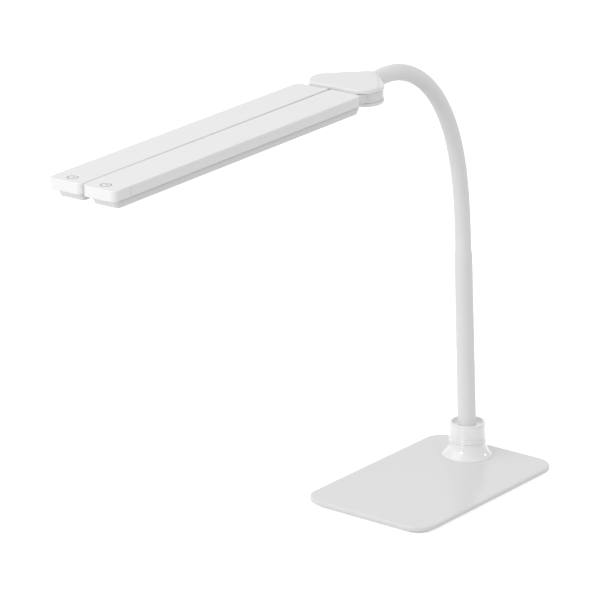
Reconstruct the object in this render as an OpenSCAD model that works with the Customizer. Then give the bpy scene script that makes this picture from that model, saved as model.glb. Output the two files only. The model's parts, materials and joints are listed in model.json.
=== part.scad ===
// Folding LED desk lamp. Two slim light bars lie side by side and swing open on a yoke,
// which a flexible neck carries above a weighted base.
// Millimetres, +Z up. The bars point to -Y, and the origin is the centre of the underside.

/* [Base] */
// Width of the base, side to side
base_w = 123.5; // [115:0.5:145]
// Length of the base, front to back
base_l = 193.5; // [185:0.5:230]
// Corner radius of the base in plan
base_r = 18; // [14:1:24]
// Height of the base cover
cover_h = 3.8; // [3.8:0.1:6]
// Thickness of the cover's top wall
cover_top = 1.8; // [1.6:0.1:2.2]
// How far the foot tray stands in from the cover's edge
foot_inset = 4.5; // [3:0.5:7]
// Height of the foot tray
foot_h = 2.7; // [2.6:0.1:4]
// Width of the foot tray's rim
tray_wall = 2; // [1.6:0.2:3]
// Thickness of the foot tray's floor over the pad
tray_floor = 0.8; // [0.6:0.1:1]
// Thickness of the rubber pad
pad_t = 1; // [0.8:0.1:1.4]
// Height of the pad that stands below the tray
pad_show = 0.5; // [0.3:0.1:0.6]
// Margin of the tray around the pad
pad_margin = 4; // [3:0.5:8]
// Thickness of the steel ballast plate
ballast_t = 3; // [2:0.1:3.2]
// Gap around the ballast plate
ballast_gap = 0.3; // [0.2:0.1:0.8]
// Distance of the base screws from the base's edges
base_screw_in = 18; // [15:1:24]
// Shank radius of the base screws
base_screw_r = 1.3; // [1:0.1:1.5]
// Head radius of the base screws
base_screw_head_r = 2.4; // [2.2:0.1:2.8]
// Head height of the base screws
base_screw_head_h = 1.1; // [0.8:0.1:1.2]
// Length of a base screw under its head
base_screw_l = 3; // [2.4:0.1:3.2]
// Radius of the bosses around the base screws
base_boss_r = 4; // [3.6:0.2:5]
// Space around the collar's washer and the inlet's board in the ballast plate
ballast_hole_gap = 1; // [0.6:0.2:2]

/* [Power inlet] */
// Width of the inlet's metal shell
inlet_w = 7.6; // [7:0.1:9]
// Height of the inlet's metal shell
inlet_h = 2.5; // [2.3:0.1:2.6]
// Length of the inlet's metal shell
inlet_l = 9; // [8.5:0.5:12]
// Sheet thickness of the inlet's metal shell
inlet_sheet = 0.3; // [0.2:0.05:0.4]
// Width of the inlet's circuit board
inlet_board_w = 14; // [12:1:20]
// Length of the inlet's circuit board
inlet_board_l = 13; // [11:1:18]
// Thickness of the inlet's circuit board
inlet_board_t = 0.8; // [0.6:0.1:1]
// Thickness of the inlet's closed back
inlet_back = 2; // [1.5:0.5:3]
// How far the inlet's tongue stands back from its mouth
inlet_tongue_in = 1; // [0.6:0.2:1.6]

/* [Collar] */
// Sideways place of the neck, measured from the base's centre
neck_x = -11; // [-20:1:20]
// Space between the nut under the collar and the inlet's circuit board behind it
collar_gap = 1; // [0.8:0.1:20]
// Radius of the skirt where it meets the base
skirt_r = 21.3; // [19:0.1:24]
// Height of the flared skirt
skirt_h = 13; // [11:0.5:18]
// Radius at the top of the skirt
skirt_top_r = 16; // [15:0.1:17]
// Power of the skirt's flare, where more is a sharper flare
skirt_flare = 2.4; // [1.5:0.1:3.5]
// Height of the cup above the skirt
cup_h = 16.5; // [14:0.5:24]
// Outer radius at the foot of the cup
cup_foot_r = 15.7; // [14.8:0.1:16]
// Outer radius of the cup's rim
cup_rim_r = 14.9; // [13.8:0.1:15]
// Thickness of the cup's rim
cup_rim_t = 2.1; // [1.4:0.1:3]
// Depth of the recess inside the rim
cup_recess = 2.5; // [1.5:0.5:9]
// Depth of the ring grooves in the cup
groove_d = 0.35; // [0.2:0.05:0.5]
// Width of a ring groove
groove_w = 0.5; // [0.3:0.1:0.8]
// Spacing of the grooves above the skirt
groove_pitch = 2; // [1.5:0.1:3]
// Radius of the hollow stud
stud_r = 5; // [4.5:0.1:6]
// Radius of the wire way through the stud
stud_bore_r = 3; // [2:0.1:3.5]
// Radius of the stud's seat flange
stud_flange_r = 9; // [8:0.5:11]
// Thickness of the stud's seat flange
stud_flange_t = 3; // [2:0.5:4]
// Height of the nut under the cover
nut_h = 2.2; // [1.8:0.1:2.4]
// Width of the nut across its flats
nut_flats = 15; // [14:0.5:17]
// Thickness of the washer under the cover
washer_t = 0.6; // [0.4:0.1:0.7]
// Radius of the washer under the cover
washer_r = 10; // [9.5:0.5:12]
// Height of the stud's plug in the foot of the tube
stud_plug = 14; // [10:1:20]
// Radius of the wire way through the stud's plug
plug_bore_r = 4; // [3.8:0.1:4.5]

/* [Lower tube] */
// Forward lean of the lower tube, in degrees
tube_lean = 3.4; // [0:0.1:8]
// Length of the lower tube
tube_l = 168; // [120:1:200]
// Outer radius at the foot of the tube
tube_foot_r = 7.8; // [7.6:0.1:8.2]
// Outer radius at the top of the tube
tube_top_r = 7.5; // [7.3:0.1:7.6]
// Bore radius of the tube
tube_bore_r = 6.3; // [6:0.1:6.5]
// Height of the ferrule on top of the tube
ferrule_h = 4; // [3:0.5:5]
// Depth of the ferrule's plug in the tube
ferrule_plug = 12; // [8:1:20]
// Step from the sleeve out to the ferrule's upper edge
ferrule_step = 0.2; // [0.1:0.1:0.4]

/* [Neck] */
// Length of the flexible neck along its curve
neck_l = 247; // [200:0.1:280]
// Power of the curve, where more leaves the foot of the neck straighter
neck_power = 2; // [1.4:0.05:2.4]
// Direction of the neck where it enters the yoke, in degrees from upright
neck_end = 104; // [80:1:110]
// Length from each end of the neck to its nearest hinge
neck_tail = 9; // [8:0.5:12]
// Outer radius of the sleeve
sleeve_r = 6.7; // [6.5:0.1:6.9]
// Wall of the sleeve
sleeve_wall = 1.2; // [0.9:0.1:1.3]
// Gap between two lengths of sleeve
sleeve_gap = 2; // [1.9:0.1:2.6]
// Radius of a vertebra's ball
ball_r = 4; // [3.8:0.1:4.1]
// Running clearance around the ball
ball_fit = 0.05; // [0.03:0.01:0.08]
// Radius of the stem above the ball
stem_r = 2.2; // [2:0.1:2.3]
// Length of the stem from the ball's centre
stem_l = 4.4; // [4:0.1:5]
// Outer radius of a vertebra's socket and of the plug in the yoke
core_r = 5.1; // [5:0.05:5.2]
// Outer radius of a vertebra between its stem and its socket
link_r = 4.7; // [4.5:0.1:4.8]
// How far the socket's lip reaches past the ball's centre
lip_h = 2; // [1.6:0.1:2.2]
// Outer radius of the socket's lip
lip_r = 4.5; // [4.3:0.1:4.6]
// Thickness of a vertebra under the ball it holds
socket_wall = 1; // [0.8:0.1:1.5]
// Radius of the wire way through a vertebra's ball
wire_r = 1.2; // [1:0.1:1.3]
// Radius of the wire way behind a socket
socket_way_r = 1.6; // [1.5:0.1:1.8]

/* [Yoke] */
// Angle between the neck's end and the plane of the bars, in degrees
socket_tilt = 12.3; // [8:0.1:14]
// Distance of the neck's end behind the pivots
socket_y = 34; // [33:0.5:40]
// Depth of the neck's axis below the top of the bars
neck_drop = 7.5; // [7:0.5:8.5]
// Distance of each pivot from the yoke's middle
pivot_x = 16; // [16:0.5:18]
// Radius of the yoke's two ears
ear_r = 14.5; // [14:0.5:15.5]
// How far the middle of each ear lies outside its pivot
ear_out = 1; // [0:0.5:1.5]
// Radius of the yoke's tail
tail_r = 8; // [7.5:0.5:9]
// How far the middle of each of the cap's ears lies outside its pivot
cap_ear_out = 1.5; // [1:0.5:2]
// How far the cap's ears lie ahead of the pivots
cap_ahead = 4; // [2:0.5:5]
// Radius of the cap's ears
cap_ear_r = 13.5; // [13:0.5:14]
// How far the cap's tail stops short of the yoke's tail
cap_tail = 4; // [3:0.5:6]
// Radius of the cap's tail
cap_tail_r = 7; // [6.5:0.1:7.5]
// Thickness of the yoke's cap
cap_t = 5; // [4.5:0.5:6]
// Height of the cap above the top of the bars
cap_rise = 1.5; // [1:0.1:2.5]
// Height of the yoke's rim above the underside of the cap
rim_h = 4.4; // [3:0.1:4.4]
// Distance behind the pivots at which the rim begins
rim_y = 3; // [2:0.5:9]
// Total depth of the yoke below the top of the bars
yoke_depth = 13.5; // [13.5:0.5:15]
// Thickness of the yoke's floor
yoke_floor = 3.1; // [2.6:0.1:3.4]
// Radius of the nose around the neck
nose_r = 7.6; // [7:0.1:8.2]
// Length of the nose in front of the neck's end
nose_l = 11; // [10:1:14]
// Depth of the neck's end fitting in the yoke
end_plug = 11; // [8:1:11]
// Radius of the pivot pins
pin_r = 2.5; // [2:0.1:3]
// Running clearance between pin and knuckle
pin_fit = 0.05; // [0.03:0.01:0.09]
// Depth of each pin in the cap
pin_in_cap = 2.5; // [1.5:0.5:3]
// Thickness of the friction washers
friction_t = 0.5; // [0.4:0.1:0.7]
// Radius of the friction washers
friction_r = 13; // [6:0.5:13]
// Running gap over and under each knuckle
knuckle_gap = 0.3; // [0.25:0.05:0.4]
// Gap around each knuckle
knuckle_room = 0.5; // [0.4:0.1:1]
// Gap between the yoke's wall and the tongue of a bar that is swung out
swing_gap = 1.4; // [1:0.1:2]
// Place of the yoke's screws behind the pivots
yoke_screw_y = 19; // [18.5:0.5:21]
// Distance of the yoke's screws from its middle
yoke_screw_x = 10.5; // [9.5:0.5:12]
// Shank radius of the yoke's screws
yoke_screw_r = 1.2; // [1:0.1:1.4]
// Head radius of the yoke's screws
yoke_screw_head_r = 2.2; // [2:0.1:2.4]
// Head height of the yoke's screws
yoke_screw_head_h = 1.2; // [1:0.1:1.5]
// How far the yoke's screws and pins stand in from its underside
yoke_sink = 0.3; // [0.2:0.1:0.6]

/* [Light bars] */
// Width of one light bar
bar_w = 31.2; // [31:0.1:34]
// Gap between the two light bars
bar_gap = 1; // [0.4:0.1:1.2]
// Distance from a bar's tip to its pivot
bar_reach = 315.5; // [280:0.5:360]
// Distance from the pivot to the rear end of the bar's cover
bar_rear = 26; // [25:0.5:32]
// Height of the bar's upper shell
shell_h = 8.5; // [7:0.5:9]
// Wall of the bar's upper shell
shell_wall = 1.3; // [1:0.1:1.6]
// Length of the end cap at the bar's tip
end_cap_l = 18; // [16:1:24]
// Corner radius of the bar's tip
tip_r = 5; // [3:0.5:7]
// Corner radius of the cover's outer rear corner
rear_r = 7; // [4:0.5:9]
// Corner radius of the cover's inner rear corner
inner_rear_r = 1; // [0.6:0.2:2]
// Total height of the bar
bar_h = 15.5; // [15:0.5:17]
// How far the light frame stands in from the shell's sides and tip
frame_in = 4; // [3:0.5:5]
// Wall of the light frame
frame_wall = 1.2; // [1:0.1:1.5]
// Corner radius of the light frame
frame_r = 3; // [2:0.5:4]
// Thickness of the frame's flange inside the shell
flange_t = 1.2; // [1:0.1:1.5]
// Clearance between the flange and the shell
flange_fit = 0.15; // [0.1:0.05:0.3]
// Distance from the pivot to the rear end of the light frame, at its top
frame_rear = 21; // [19:0.5:24]
// How far the bottom of the frame's rear end stands forward of its top
frame_slant = 4.5; // [1:0.5:6]
// How far the bottom of the frame's front end stands behind its top
front_slant = 4; // [1:0.5:6]
// Width of the tongue that joins the frame to its knuckle
tongue_w = 22; // [18:1:24]
// How far the tongue reaches under the cover
tongue_in = 8; // [5:0.5:9]
// Radius of the knuckle
knuckle_r = 13.5; // [12.5:0.5:14]

/* [Light] */
// Thickness of the diffuser
diffuser_t = 1.5; // [1.2:0.1:2]
// Clearance around the diffuser
diffuser_fit = 0.1; // [0.05:0.05:0.3]
// Width of the ledge that carries the diffuser and the LED board
ledge_w = 1.4; // [1:0.1:2]
// Height of the ledge between the diffuser and the LED board
ledge_h = 3.4; // [3:0.1:3.6]
// Length of solid frame at each bar screw, next to the light window
screw_land = 12; // [10:1:16]
// Thickness of the LED board
led_board_t = 1; // [0.8:0.1:1.2]
// Number of LEDs on each board
led_count = 24; // [12:1:28]
// Width of one LED
led_w = 3.5; // [2.8:0.1:5]
// Length of one LED
led_l = 2.8; // [2:0.1:5]
// Height of one LED
led_h = 0.7; // [0.5:0.1:1]
// Shank radius of the bar's screws
bar_screw_r = 1.1; // [0.9:0.1:1.3]
// Head radius of the bar's screws
bar_screw_head_r = 2; // [1.8:0.1:2.4]
// Height of a bar screw's head
bar_screw_head_h = 1.2; // [1:0.1:1.4]
// Wall of the bosses around the bar's screws, beyond their head's radius
bar_boss_wall = 1; // [0.6:0.1:1.4]
// Free board at each end of the row of LEDs
led_margin = 2; // [1:0.5:4]

/* [Touch switch] */
// Distance of the touch mark from the bar's tip
touch_in = 9.5; // [8:0.5:10]
// Outer radius of the touch mark's ring
mark_r = 4.7; // [4:0.1:5]
// Line width of the touch mark
mark_line = 0.5; // [0.4:0.1:0.8]
// Depth of the touch mark's inlay
mark_t = 0.2; // [0.1:0.05:0.3]
// Radius of the conductive pad under the mark
touch_pad_r = 3.5; // [2.5:0.5:5]
// Length of the conductive pad
touch_pad_l = 1.8; // [1.2:0.1:2.4]
// Width of the touch board
touch_board_w = 22; // [16:1:24]
// Length of the touch board
touch_board_l = 12; // [10:1:13]
// Thickness of the touch board
touch_board_t = 1; // [0.8:0.1:1.2]
// Radius of the posts that carry the circuit boards
post_r = 1.2; // [1:0.1:1.5]
// Distance of the posts from a board's edge
post_in = 2; // [1.6:0.2:3]

/* [Fits] */
// Clearance around pads, the inlet and studs in their holes
loose_fit = 0.1; // [0.05:0.05:0.15]
// Clearance around circuit boards
board_fit = 0.2; // [0.1:0.05:0.3]
// Clearance around screws in the holes they pass through
screw_fit = 0.15; // [0.1:0.05:0.2]
// Space beyond a screw's tip in a blind hole
tip_gap = 0.3; // [0.2:0.1:0.4]
// Solid left beyond a blind screw hole
blind_roof = 1.2; // [1:0.1:1.5]

/* [Hidden] */
$fn = 64;
eps = 0.01;
// Overlap that joins two shapes of one piece, and length by which a cut passes a face
join = 1;
// Half size of a block that cuts a whole end away
far = 50;
// Number of vertebrae, which NODES names one by one
links = 7;

// Levels of the base
tray_z = pad_show;
floor_z = pad_t + tray_floor;
cover_z = pad_show + foot_h;
top_z = cover_z + cover_h;
roof_z = top_z - cover_top;
pocket_in = foot_inset + tray_wall;
base_screw_tip = pad_t + base_screw_head_h + base_screw_l;
inlet_z = cover_z + cover_h / 2;
inlet_board_z = inlet_z - inlet_h / 2 - inlet_board_t;
inlet_board_y1 = base_l / 2 - pocket_in - board_fit;
inlet_board_y0 = inlet_board_y1 - inlet_board_l;

// Place of the collar, and levels of the collar and the foot of the tube
collar_y = inlet_board_y0 - nut_flats / 2 / cos(30) - collar_gap;
seat_z = top_z + skirt_h;
rim_z = seat_z + cup_h;
tube_start = tube_foot_r * sin(tube_lean) + loose_fit;
tube_top = [collar_y - tube_l * sin(tube_lean), seat_z + tube_l * cos(tube_lean)];

// Curve of the neck, measured by the length s along it from the top of the tube
hinge_pitch = (neck_l - 2 * neck_tail) / links;
function hinge_s(i) = neck_tail + i * hinge_pitch;
function heading(s) = tube_lean + (neck_end - tube_lean) * pow(s / neck_l, neck_power);
// Step [y, z] along a round arc of length l whose heading goes from a to b
function arc_step(a, b, l) =
    let (half = (b - a) / 2, chord = l * sin(half) / (half * PI / 180))
    [-chord * sin(a + half), chord * cos(a + half)];
function span(s0, s1) = arc_step(heading(s0), heading(s1), s1 - s0);
function hinge_at(i) = i == 0 ? tube_top + span(0, hinge_s(0))
    : hinge_at(i - 1) + span(hinge_s(i - 1), hinge_s(i));
neck_end_at = hinge_at(links) + span(hinge_s(links), neck_l);

// Place and pitch of the head, which is built with its pivots at y = 0 and its top at z = 0
head_pitch = neck_end - 90 - socket_tilt;
head_at = neck_end_at - [socket_y * cos(head_pitch) + neck_drop * sin(head_pitch),
                         socket_y * sin(head_pitch) - neck_drop * cos(head_pitch)];

// Levels of the yoke
cap_z = cap_rise - cap_t;
slot_z = yoke_floor - yoke_depth;
knuckle_top = cap_z - knuckle_gap;
knuckle_bottom = slot_z + friction_t + knuckle_gap;
yoke_head_z = yoke_sink + yoke_screw_head_h - yoke_depth;
ear_x = pivot_x + ear_out;
yoke_corners = [[ear_x, 0, ear_r], [0, socket_y - tail_r, tail_r], [-ear_x, 0, ear_r]];
cap_ear_x = pivot_x + cap_ear_out;
cap_corners = [[cap_ear_x, -cap_ahead, cap_ear_r], [0, socket_y - tail_r - cap_tail, cap_tail_r],
               [-cap_ear_x, -cap_ahead, cap_ear_r]];

// Plan of a right-hand light bar
bar_x0 = bar_gap / 2;
bar_x1 = bar_x0 + bar_w;
bar_mid = bar_x0 + bar_w / 2;
tip_y = -bar_reach;
seam_y = tip_y + end_cap_l;
rear_y = -bar_rear;
flange_z = -shell_h;
frame_x0 = bar_x0 + frame_in;
frame_x1 = bar_x1 - frame_in;
frame_tip = tip_y + frame_in;
pocket_x0 = frame_x0 + frame_wall;
pocket_x1 = frame_x1 - frame_wall;
ledge_z = -bar_h + diffuser_t;
board_z = ledge_z + ledge_h;
frame_bottom_y = -frame_rear - frame_slant;
tongue_front = rear_y - tongue_in;
window_front = seam_y + screw_land;
window_rear = tongue_front - screw_land;
bar_screw_y = [window_front - screw_land / 2, window_rear + screw_land / 2];
bar_screw_top = -shell_wall - blind_roof;
touch_y = tip_y + touch_in;
touch_board_z = -shell_wall - touch_pad_l - touch_board_t;

// ---- Shared shapes ----

// Points where the straight side from corner a to corner b touches their circles
function side_points(a, b) =
    let (d = [b[0] - a[0], b[1] - a[1]],
         turn = atan2(d[1], d[0]) - acos((a[2] - b[2]) / norm(d)),
         n = [cos(turn), sin(turn)])
    [[a[0] + a[2] * n[0], a[1] + a[2] * n[1]], [b[0] + b[2] * n[0], b[1] + b[2] * n[1]]];

// Outline through round corners [x, y, radius], listed counter-clockwise
module rounded_outline(corners) {
    count = len(corners);
    polygon([for (i = [0 : count - 1]) each side_points(corners[i], corners[(i + 1) % count])]);
    for (c = corners)
        translate([c[0], c[1]])
            circle(r = c[2]);
}

module rounded_box(x0, x1, y0, y1, r, z0, z1) {
    translate([0, 0, z0])
        linear_extrude(z1 - z0)
            rounded_outline([[x0 + r, y0 + r, r], [x1 - r, y0 + r, r],
                             [x1 - r, y1 - r, r], [x0 + r, y1 - r, r]]);
}

// Slab of the base's plan, stood in from its edge
module base_slab(inset, z0, z1) {
    rounded_box(-base_w / 2 + inset, base_w / 2 - inset, -base_l / 2 + inset, base_l / 2 - inset,
                base_r - inset, z0, z1);
}

module block(x0, x1, y0, y1, z0, z1) {
    translate([x0, y0, z0])
        cube([x1 - x0, y1 - y0, z1 - z0]);
}

module disc(r, z0, z1) {
    translate([0, 0, z0])
        cylinder(r = r, h = z1 - z0);
}

module at_base_screws() {
    for (x = [-1, 1], y = [-1, 1])
        translate([x * (base_w / 2 - base_screw_in), y * (base_l / 2 - base_screw_in), 0])
            children();
}

module at_collar() {
    translate([neck_x, collar_y, 0])
        children();
}

// Frame on the lower tube's axis, with z from the seat
module on_tube() {
    translate([neck_x, collar_y, seat_z])
        rotate([tube_lean, 0, 0])
            children();
}

// Frame at hinge i of the neck, with z along the neck
module at_hinge(i) {
    p = hinge_at(i);
    translate([neck_x, p[0], p[1]])
        rotate([heading(hinge_s(i)), 0, 0])
            children();
}

// Frame at the top of the lower tube, with z along the neck
module at_tube_top() {
    translate([neck_x, tube_top[0], tube_top[1]])
        rotate([tube_lean, 0, 0])
            children();
}

module at_head() {
    translate([neck_x, head_at[0], head_at[1]])
        rotate([head_pitch, 0, 0])
            children();
}

// Round bar from length from_l to to_l along an arc that bends by bend over arc_l
module arc_bar(r, from_l, to_l, bend, arc_l) {
    big_r = arc_l / (bend * PI / 180);
    translate([0, -big_r, 0])
        rotate([90, 0, 90])
            rotate([0, 0, bend * from_l / arc_l])
                rotate_extrude(angle = bend * (to_l - from_l) / arc_l)
                    translate([big_r, 0])
                        circle(r = r, $fn = 48);
}

// ---- Base ----

module pad_plan(grow, z0, z1) {
    base_slab(foot_inset + pad_margin - grow, z0, z1);
}

module base_pad() {
    color("dimgray")
        pad_plan(0, 0, pad_t);
}

module base_tray() {
    color("white")
        difference() {
            union() {
                difference() {
                    base_slab(foot_inset, tray_z, cover_z);
                    base_slab(pocket_in, floor_z, cover_z + eps);
                }
                at_base_screws()
                    disc(base_boss_r, floor_z, cover_z);
                for (x = [-1, 1])
                    translate([neck_x + x * (inlet_board_w / 2 - post_in), inlet_board_y0 + post_in, 0])
                        disc(post_r, floor_z, inlet_board_z);
            }
            pad_plan(loose_fit, tray_z - eps, pad_t);
            at_base_screws() {
                disc(base_screw_head_r + screw_fit, pad_t - eps, pad_t + base_screw_head_h);
                disc(base_screw_r + screw_fit, pad_t, cover_z + eps);
            }
        }
}

module ballast_plate() {
    color("slategray")
        difference() {
            base_slab(pocket_in + ballast_gap, floor_z, floor_z + ballast_t);
            at_base_screws()
                disc(base_boss_r + ballast_gap, floor_z - eps, floor_z + ballast_t + eps);
            at_collar()
                disc(washer_r + ballast_hole_gap, floor_z - eps, floor_z + ballast_t + eps);
            block(neck_x - inlet_board_w / 2 - ballast_hole_gap,
                  neck_x + inlet_board_w / 2 + ballast_hole_gap,
                  inlet_board_y0 - ballast_hole_gap, base_l / 2, floor_z - eps, floor_z + ballast_t + eps);
        }
}

module base_cover() {
    color("white")
        difference() {
            union() {
                difference() {
                    base_slab(0, cover_z, top_z);
                    base_slab(pocket_in, cover_z - eps, roof_z);
                }
                at_base_screws()
                    disc(base_boss_r, cover_z, roof_z);
            }
            at_base_screws()
                disc(base_screw_r, cover_z - eps, base_screw_tip + tip_gap);
            at_collar()
                disc(stud_r + loose_fit, cover_z, top_z + eps);
            block(neck_x - inlet_w / 2 - loose_fit, neck_x + inlet_w / 2 + loose_fit,
                  base_l / 2 - inlet_l - loose_fit, base_l / 2 + eps,
                  inlet_z - inlet_h / 2, inlet_z + inlet_h / 2 + loose_fit);
            block(neck_x - inlet_board_w / 2 - board_fit, neck_x + inlet_board_w / 2 + board_fit,
                  inlet_board_y0 - board_fit, inlet_board_y1 + board_fit, cover_z - eps, inlet_z);
        }
}

module base_screws() {
    color("silver")
        at_base_screws() {
            disc(base_screw_head_r, pad_t, pad_t + base_screw_head_h);
            disc(base_screw_r, pad_t, base_screw_tip);
        }
}

module power_inlet() {
    half_w = inlet_w / 2;
    color("silver")
        difference() {
            block(neck_x - half_w, neck_x + half_w, base_l / 2 - inlet_l, base_l / 2,
                  inlet_z - inlet_h / 2, inlet_z + inlet_h / 2);
            difference() {
                block(neck_x - half_w + inlet_sheet, neck_x + half_w - inlet_sheet,
                      base_l / 2 - inlet_l + inlet_back, base_l / 2 + eps,
                      inlet_z - inlet_h / 2 + inlet_sheet, inlet_z + inlet_h / 2 - inlet_sheet);
                block(neck_x - half_w / 2, neck_x + half_w / 2, base_l / 2 - inlet_l,
                      base_l / 2 - inlet_tongue_in, inlet_z - inlet_sheet, inlet_z + inlet_sheet);
            }
        }
}

module inlet_board() {
    color("darkgreen")
        block(neck_x - inlet_board_w / 2, neck_x + inlet_board_w / 2, inlet_board_y0,
              inlet_board_y1, inlet_board_z, inlet_board_z + inlet_board_t);
}

// ---- Collar and lower tube ----

module collar_skirt() {
    steps = 10;
    flare = [for (i = [0 : steps])
        [skirt_top_r + (skirt_r - skirt_top_r) * pow(1 - i / steps, skirt_flare), skirt_h * i / steps]];
    color("white")
        at_collar()
            difference() {
                translate([0, 0, top_z])
                    rotate_extrude()
                        polygon(concat([[stud_r, 0]], flare, [[stud_r, skirt_h]]));
                disc(stud_flange_r, seat_z - stud_flange_t, seat_z + eps);
            }
}

module ring_groove(r, z) {
    translate([0, 0, z])
        difference() {
            cylinder(r = r + join, h = groove_w);
            translate([0, 0, -eps])
                cylinder(r = r - groove_d, h = groove_w + 2 * eps);
        }
}

module collar_cup() {
    function outer(h) = cup_foot_r + (cup_rim_r - cup_foot_r) * h / cup_h;
    color("white")
        difference() {
            at_collar()
                difference() {
                    translate([0, 0, seat_z])
                        cylinder(r1 = cup_foot_r, r2 = cup_rim_r, h = cup_h);
                    disc(cup_rim_r - cup_rim_t, rim_z - cup_recess, rim_z + eps);
                    for (h = [groove_pitch, 2 * groove_pitch, cup_h - groove_pitch])
                        ring_groove(outer(h), seat_z + h);
                }
            on_tube()
                tube_outside(-join);
        }
}

// Outside of the lower tube, from a length below its foot
module tube_outside(start) {
    slope = (tube_top_r - tube_foot_r) / tube_l;
    translate([0, 0, start])
        cylinder(r1 = tube_foot_r + slope * start, r2 = tube_top_r, h = tube_l - start);
}

module neck_stud() {
    color("silver")
        difference() {
            union() {
                at_collar() {
                    disc(stud_r, roof_z - washer_t - nut_h, seat_z - stud_flange_t + eps);
                    disc(stud_flange_r, seat_z - stud_flange_t, seat_z);
                }
                on_tube()
                    disc(tube_bore_r, -join, stud_plug);
            }
            at_collar()
                disc(stud_bore_r, 0, seat_z + join);
            on_tube()
                disc(plug_bore_r, 0, stud_plug + eps);
        }
}

module stud_nut() {
    color("silver")
        at_collar()
            difference() {
                translate([0, 0, roof_z - washer_t - nut_h])
                    cylinder(r = nut_flats / 2 / cos(30), h = nut_h, $fn = 6);
                disc(stud_r, 0, roof_z);
            }
}

module stud_washer() {
    color("silver")
        at_collar()
            difference() {
                disc(washer_r, roof_z - washer_t, roof_z);
                disc(stud_r + loose_fit, 0, roof_z + eps);
            }
}

module lower_tube() {
    color("white")
        on_tube()
            difference() {
                tube_outside(tube_start);
                disc(tube_bore_r, 0, tube_l + eps);
            }
}

// ---- Neck ----

// Hollow of a socket around the origin
module ball_hollow() {
    sphere(r = ball_r + ball_fit);
}

// Socket that holds the next ball, around the origin, open towards +Z
module socket_shell() {
    foot = ball_r + socket_wall;
    rotate_extrude()
        polygon([[0, -foot], [core_r, -foot], [core_r, 0], [lip_r, lip_h], [0, lip_h]]);
}

module tube_ferrule() {
    a = heading(hinge_s(0)) - tube_lean;
    color("white")
        difference() {
            union() {
                at_tube_top() {
                    disc(tube_bore_r, -ferrule_plug, eps);
                    cylinder(r1 = tube_top_r, r2 = sleeve_r + ferrule_step, h = ferrule_h);
                    arc_bar(link_r, ferrule_h / 2, neck_tail - ball_r, a, neck_tail);
                }
                at_hinge(0)
                    socket_shell();
            }
            at_hinge(0)
                ball_hollow();
            at_tube_top()
                disc(wire_r, -ferrule_plug - eps, neck_tail);
        }
}

// Ball and straight stem of a vertebra, around the origin
module ball_and_stem() {
    sphere(r = ball_r);
    disc(stem_r, 0, stem_l + join);
}

// Straight wire way from a ball up to a length along its stem
module stem_wire_way(to_l) {
    disc(wire_r, -2 * ball_r, to_l);
}

module neck_core(i) {
    bend = heading(hinge_s(i)) - heading(hinge_s(i - 1));
    // Distance from each hinge at which the two straight wire ways meet
    meet = hinge_pitch * tan(bend / 2) / (bend * PI / 180);
    color("silver")
        difference() {
            union() {
                at_hinge(i - 1) {
                    ball_and_stem();
                    arc_bar(link_r, stem_l, hinge_pitch - ball_r, bend, hinge_pitch);
                }
                at_hinge(i)
                    socket_shell();
            }
            at_hinge(i) {
                ball_hollow();
                disc(socket_way_r, -meet, 0);
            }
            at_hinge(i - 1)
                stem_wire_way(meet + wire_r * sin(bend / 2));
        }
}

module sleeve_tube(from_l, to_l, bend, arc_l) {
    difference() {
        arc_bar(sleeve_r, from_l, to_l, bend, arc_l);
        arc_bar(sleeve_r - sleeve_wall, from_l - join, to_l + join, bend, arc_l);
    }
}

module neck_sleeve(i) {
    last = links + 1;
    color("whitesmoke")
        if (i == 0) {
            at_tube_top()
                sleeve_tube(ferrule_h, neck_tail - sleeve_gap / 2,
                            heading(hinge_s(0)) - tube_lean, neck_tail);
        } else if (i == last) {
            at_hinge(links)
                sleeve_tube(sleeve_gap / 2, neck_tail, neck_end - heading(hinge_s(links)), neck_tail);
        } else {
            at_hinge(i - 1)
                sleeve_tube(sleeve_gap / 2, hinge_pitch - sleeve_gap / 2,
                            heading(hinge_s(i)) - heading(hinge_s(i - 1)), hinge_pitch);
        }
}

// Frame at the neck's end, with z along the neck into the yoke
module at_neck_end() {
    translate([neck_x, neck_end_at[0], neck_end_at[1]])
        rotate([neck_end, 0, 0])
            children();
}

module neck_end_fitting() {
    color("silver")
        difference() {
            union() {
                at_hinge(links) {
                    ball_and_stem();
                    disc(lip_r, stem_l, neck_tail);
                }
                at_neck_end()
                    disc(core_r, 0, end_plug);
            }
            at_hinge(links)
                stem_wire_way(neck_tail + wire_r);
            at_neck_end()
                disc(wire_r, 0, end_plug + eps);
        }
}

// ---- Yoke ----

module yoke_plan(corners, z0, z1) {
    translate([0, 0, z0])
        linear_extrude(z1 - z0)
            rounded_outline(corners);
}

module at_pivots() {
    for (x = [-1, 1])
        translate([x * pivot_x, 0, 0])
            children();
}

module at_yoke_screws() {
    for (x = [-1, 1])
        translate([x * yoke_screw_x, yoke_screw_y, 0])
            children();
}

module yoke_body() {
    wall_y = tongue_w / 2 + swing_gap;
    color("white")
        difference() {
            union() {
                difference() {
                    at_head()
                        difference() {
                            yoke_plan(yoke_corners, -yoke_depth, cap_z + rim_h);
                            block(-far, far, -far, wall_y, slot_z, cap_z);
                            block(-far, far, -far, rim_y, cap_z - join, far);
                            at_pivots()
                                disc(knuckle_r + knuckle_room, slot_z, cap_z + eps);
                        }
                    at_neck_end()
                        disc(sleeve_r + loose_fit, -neck_tail, join);
                }
                at_neck_end()
                    disc(nose_r, 0, nose_l);
            }
            at_head() {
                at_pivots()
                    disc(pin_r, -yoke_depth - join, slot_z + join);
                at_yoke_screws() {
                    disc(yoke_screw_r + screw_fit, -yoke_depth - join, cap_z + join);
                    disc(yoke_screw_head_r + screw_fit, -yoke_depth - join, yoke_head_z);
                }
                yoke_plan(cap_corners, cap_z, far);
            }
            at_neck_end()
                disc(core_r, -join, end_plug);
        }
}

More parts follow.
